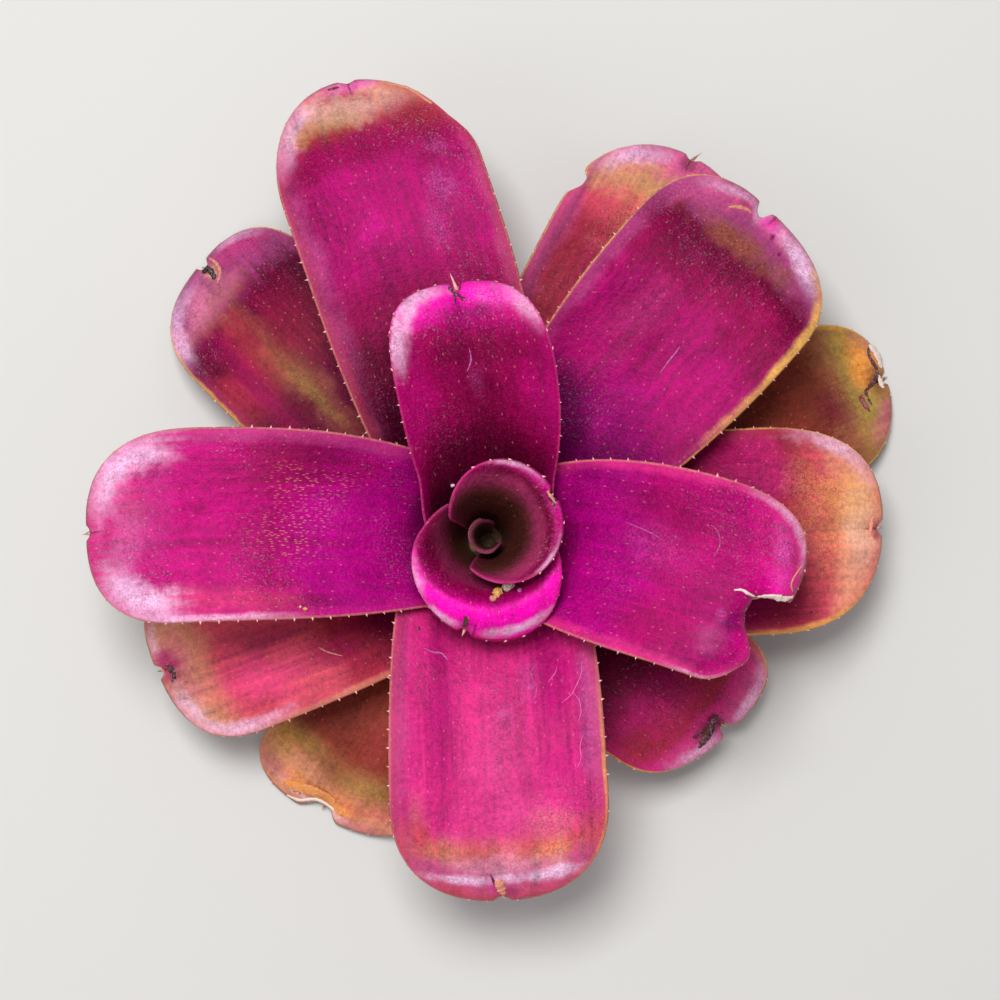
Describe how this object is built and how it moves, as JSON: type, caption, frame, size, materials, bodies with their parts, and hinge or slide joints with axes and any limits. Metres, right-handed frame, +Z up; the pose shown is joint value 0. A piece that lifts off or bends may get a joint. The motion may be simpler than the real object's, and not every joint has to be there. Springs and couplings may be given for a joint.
{
  "type": "neoregelia bromeliad",
  "caption": "Picked bromeliad rosette with a central cup, broad blunt strap leaves with toothed margins and notched tips, and a short cut stem.",
  "frame": {"origin": "centre of the stem's cut face, which is the plane that the rosette rests on", "axes": "+Z up along the axis of the rosette, out of the cup; +Y towards the short upright leaf behind the cup; +X to the right of the picture"},
  "size_m": [0.2103, 0.2133, 0.0787],
  "materials": {
    "young_leaf": "satin, thin whitish scurf",
    "grown_leaf": "satin, thin whitish scurf towards the tip",
    "old_leaf": "satin, olive and orange towards the margins",
    "stem": "matt, fibrous"
  },
  "bodies": {
    "root": {"stem": "stem", "heart_leaf": "young_leaf", "cup_leaf_inner": "young_leaf", "cup_leaf_outer": "young_leaf", "leaf_01": "grown_leaf", "leaf_02": "grown_leaf", "leaf_03": "grown_leaf", "leaf_04": "grown_leaf", "leaf_05": "grown_leaf", "leaf_06": "grown_leaf", "leaf_07": "old_leaf", "leaf_08": "grown_leaf", "leaf_09": "grown_leaf", "leaf_10": "old_leaf", "leaf_11": "old_leaf", "leaf_12": "old_leaf", "leaf_13": "old_leaf"}
  },
  "joints": []
}
